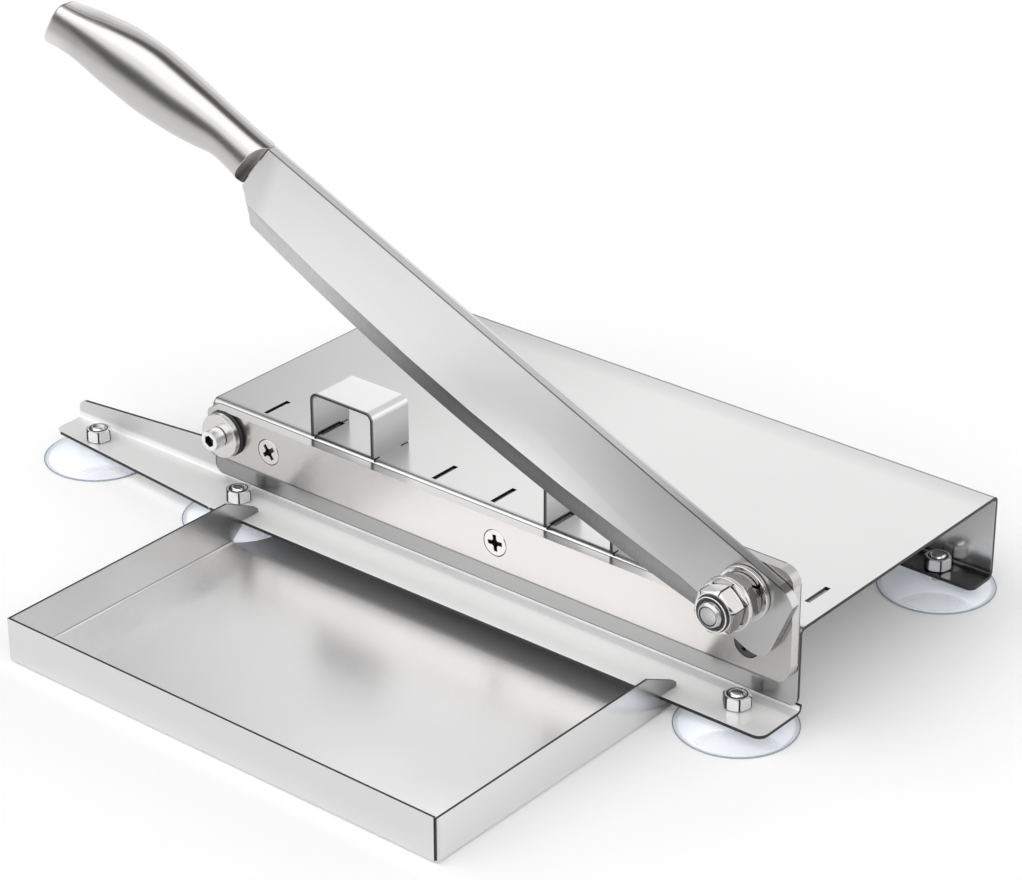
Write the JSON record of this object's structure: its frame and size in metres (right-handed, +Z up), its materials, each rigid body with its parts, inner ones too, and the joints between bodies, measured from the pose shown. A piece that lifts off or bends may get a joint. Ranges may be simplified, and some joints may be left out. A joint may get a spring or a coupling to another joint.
{
  "type": "frozen meat slicer",
  "caption": "Lever cutter for frozen meat: a pivoted blade shears past a fixed blade on a folded steel platform with suction feet, plug-in guides and a pull-out catch tray.",
  "frame": {"origin": "middle of the box around the slicer as pictured, on the table that it stands on", "axes": "+X to the right along the front wall, from the handle end to the pivot; +Y to the back, away from the tray; +Z up from the table"},
  "size_m": [0.3828, 0.2966, 0.2027],
  "materials": {
    "satin_sheet": "satin",
    "ground_steel": "fine ground",
    "satin_handle": "satin",
    "bright_steel": "polished",
    "black_rubber": "matte",
    "black_nylon": "matte",
    "clear_vinyl": "clear, glossy"
  },
  "bodies": {
    "stand": {"cup_far_left": "clear_vinyl", "cup_front_left": "clear_vinyl", "cup_front_right": "clear_vinyl", "cup_nut_far_left": "bright_steel", "cup_nut_front_left": "bright_steel", "cup_nut_front_right": "bright_steel", "cup_nut_rear_left": "bright_steel", "cup_nut_rear_right": "bright_steel", "cup_rear_left": "clear_vinyl", "cup_rear_right": "clear_vinyl", "cup_stud_far_left": "bright_steel", "cup_stud_front_left": "bright_steel", "cup_stud_front_right": "bright_steel", "cup_stud_rear_left": "bright_steel", "cup_stud_rear_right": "bright_steel", "fixed_blade": "ground_steel", "front_rail": "satin_sheet", "jam_nut": "bright_steel", "lock_nut": "bright_steel", "lock_nut_insert": "black_nylon", "outer_washer": "bright_steel", "pivot_bolt": "bright_steel", "pivot_washer": "bright_steel", "plate_nut_1": "bright_steel", "plate_nut_2": "bright_steel", "plate_nut_3": "bright_steel", "plate_screw_1": "bright_steel", "plate_screw_2": "bright_steel", "plate_screw_3": "bright_steel", "platform": "satin_sheet", "spring_washer": "bright_steel", "stop_bolt": "bright_steel", "stop_nut": "bright_steel", "stop_ring": "black_rubber", "stop_washer": "bright_steel"},
    "lever": {"blade": "ground_steel", "handle": "satin_handle"},
    "tray_body": {"tray": "satin_sheet"},
    "guide_left_body": {"guide_left": "satin_sheet"},
    "guide_right_body": {"guide_right": "satin_sheet"}
  },
  "joints": [
    {"name": "lever_swing", "type": "hinge", "parent": "stand", "child": "lever", "pos_m": [0.1699, 0.0002, 0.057], "axis": [0, 1, 0], "range_deg": [-21, 66.8]},
    {"name": "tray_pull", "type": "slide", "parent": "stand", "child": "tray_body", "axis": [0, -1, 0], "range_m": [0, 0.15]},
    {"name": "guide_left_lift", "type": "slide", "parent": "stand", "child": "guide_left_body", "axis": [0, 0, 1], "range_m": [0, 0.04]},
    {"name": "guide_right_lift", "type": "slide", "parent": "stand", "child": "guide_right_body", "axis": [0, 0, 1], "range_m": [0, 0.04]}
  ]
}
